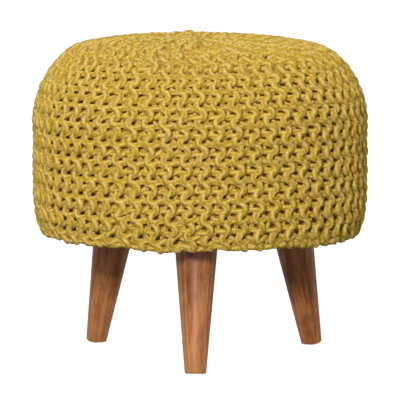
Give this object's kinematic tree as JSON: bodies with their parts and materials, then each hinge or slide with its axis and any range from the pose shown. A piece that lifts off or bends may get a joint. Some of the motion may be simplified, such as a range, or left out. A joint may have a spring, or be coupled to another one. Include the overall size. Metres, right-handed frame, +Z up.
{
  "type": "round footstool",
  "caption": "Round filled footstool in a thick ribbed knit, gathered at the crown, on splayed tapered wooden legs.",
  "frame": {"origin": "on the floor, at the seat's own upright axis", "axes": "+Z up, -Y to the front, where the single leg stands, +X to the right"},
  "size_m": [0.4296, 0.4296, 0.4188],
  "materials": {
    "yarn": "soft matt thick cotton yarn, mustard yellow",
    "board": "plain sanded plywood",
    "wood": "satin oiled red-brown hardwood"
  },
  "bodies": {
    "root": {"knitted_seat": "yarn", "gather_knot": "yarn", "base_board": "board", "leg_front": "wood", "leg_back_left": "wood", "leg_back_right": "wood"}
  },
  "joints": []
}
